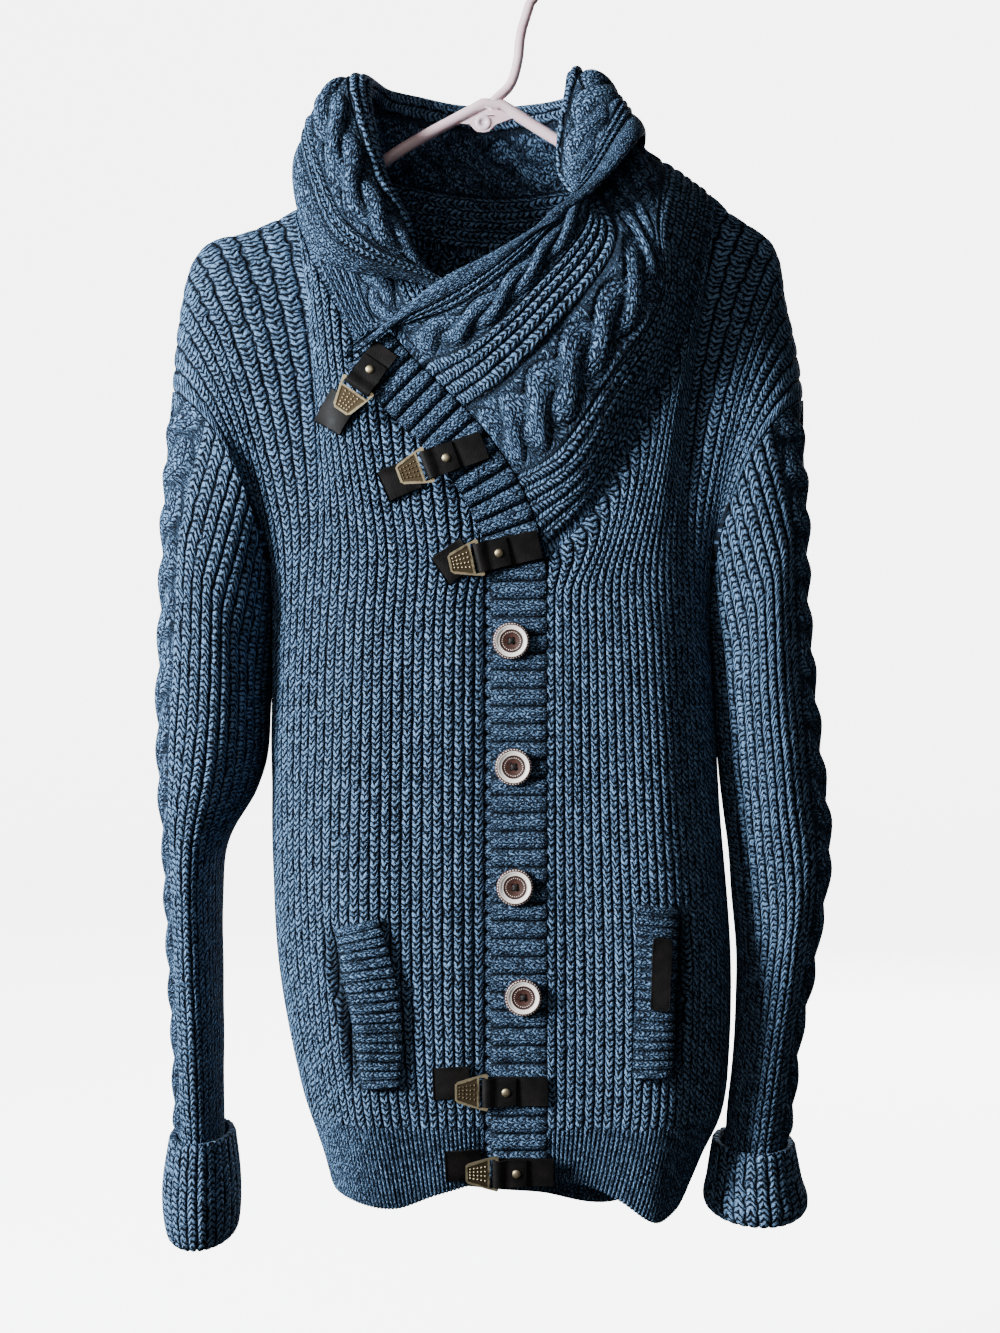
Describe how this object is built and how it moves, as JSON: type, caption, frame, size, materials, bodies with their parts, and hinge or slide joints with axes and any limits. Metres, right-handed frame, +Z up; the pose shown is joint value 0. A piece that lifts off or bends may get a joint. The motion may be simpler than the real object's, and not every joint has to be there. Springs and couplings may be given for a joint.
{
  "type": "shawl collar cardigan on hanger",
  "caption": "Chunky rib-knit cardigan with a wide folded shawl collar, buttoned front band, leather strap clasps and turned-back cuffs, hung on a plastic hanger.",
  "frame": {"origin": "the point inside the top of the hanger's hook that bears on the rail", "axes": "+Z up, +X towards the wearer's left, +Y towards the back"},
  "size_m": [0.47, 0.1958, 0.9109],
  "materials": {
    "navy_rib_knit": "marled navy and charcoal wool, half-cardigan rib",
    "dark_leather": "dark semi-matt leather",
    "aged_brass": "antiqued cast brass",
    "horn_brown": "two-tone horn-look resin",
    "pale_pink_plastic": "smooth moulded plastic"
  },
  "bodies": {
    "root": {"left_front_panel": "navy_rib_knit", "right_front_panel": "navy_rib_knit", "back_panel": "navy_rib_knit", "left_front_hem": "navy_rib_knit", "right_front_hem": "navy_rib_knit", "back_hem": "navy_rib_knit", "right_sleeve": "navy_rib_knit", "left_sleeve": "navy_rib_knit", "right_cuff": "navy_rib_knit", "left_cuff": "navy_rib_knit", "left_front_band": "navy_rib_knit", "right_front_band": "navy_rib_knit", "shawl_collar": "navy_rib_knit", "right_pocket_welt": "navy_rib_knit", "left_pocket_welt": "navy_rib_knit", "pocket_patch": "dark_leather", "clasp_1_strap": "dark_leather", "clasp_1_base": "dark_leather", "clasp_2_strap": "dark_leather", "clasp_2_base": "dark_leather", "clasp_3_strap": "dark_leather", "clasp_3_base": "dark_leather", "clasp_4_strap": "dark_leather", "clasp_4_base": "dark_leather", "clasp_5_strap": "dark_leather", "clasp_5_base": "dark_leather", "clasp_1_rivet": "aged_brass", "clasp_1_plate": "aged_brass", "clasp_2_rivet": "aged_brass", "clasp_2_plate": "aged_brass", "clasp_3_rivet": "aged_brass", "clasp_3_plate": "aged_brass", "clasp_4_rivet": "aged_brass", "clasp_4_plate": "aged_brass", "clasp_5_rivet": "aged_brass", "clasp_5_plate": "aged_brass", "button_1": "horn_brown", "button_2": "horn_brown", "button_3": "horn_brown", "button_4": "horn_brown", "hanger": "pale_pink_plastic"}
  },
  "joints": []
}
